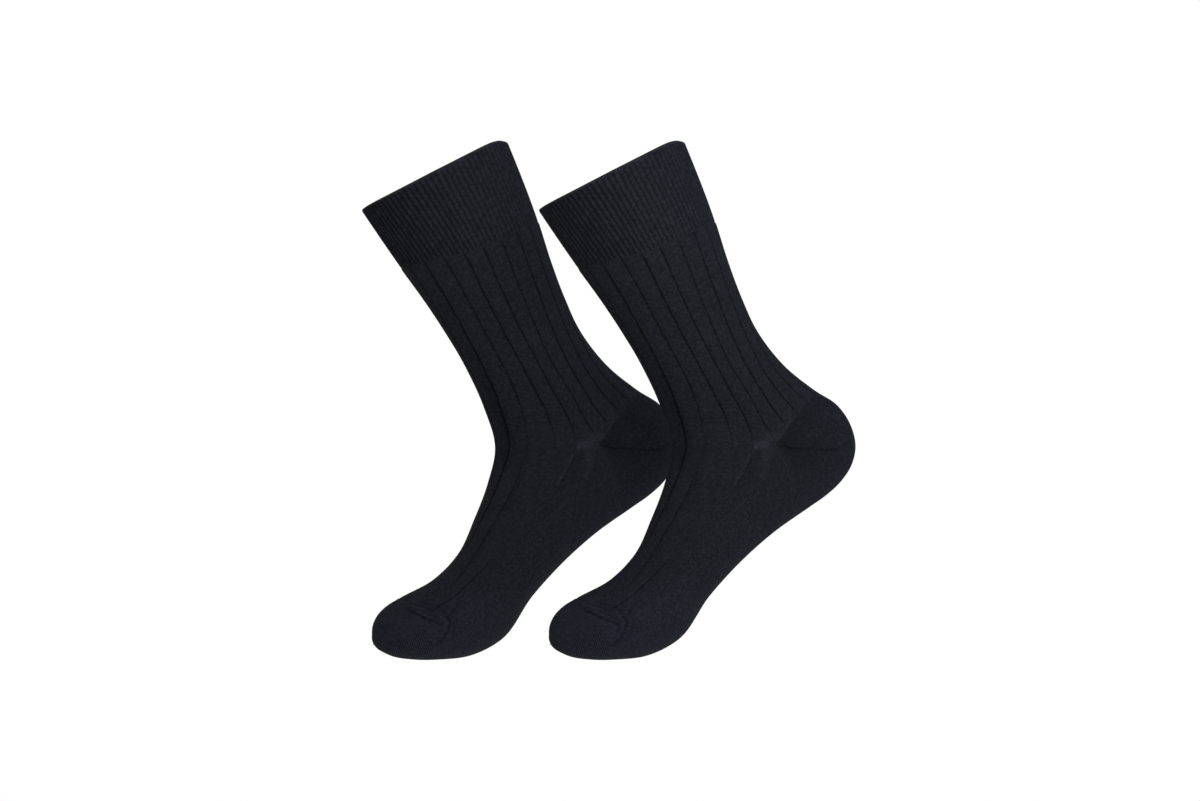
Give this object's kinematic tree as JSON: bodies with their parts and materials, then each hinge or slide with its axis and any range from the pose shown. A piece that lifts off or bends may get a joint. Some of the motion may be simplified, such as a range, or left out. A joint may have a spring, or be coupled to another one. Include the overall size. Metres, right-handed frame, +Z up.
{
  "type": "pair of ribbed crew socks, filled out as if worn",
  "caption": "Mid-calf dress socks in dark navy rib knit, filled out with no wearer, toes pointing down, one a step behind the other.",
  "frame": {"origin": "inside the near sock's open top, 6 mm below the middle of its edge, where the wearer's leg goes in", "axes": "+Z up the wearer's leg, +X from the toes' side towards the heel's side, +Y from the near sock towards the far one"},
  "size_m": [0.3699, 0.266, 0.3893],
  "materials": {
    "cuff_knit": "1x1 rib knit, matt",
    "leg_knit": "wide rib knit, matt",
    "heel_knit": "plain close knit, matt",
    "foot_knit": "plain knit sole with a ribbed instep, matt",
    "toe_knit": "plain knit, matt"
  },
  "bodies": {
    "root": {"near_cuff": "cuff_knit", "near_leg": "leg_knit", "near_heel": "heel_knit", "near_foot": "foot_knit", "near_toe": "toe_knit", "far_cuff": "cuff_knit", "far_leg": "leg_knit", "far_heel": "heel_knit", "far_foot": "foot_knit", "far_toe": "toe_knit"}
  },
  "joints": []
}
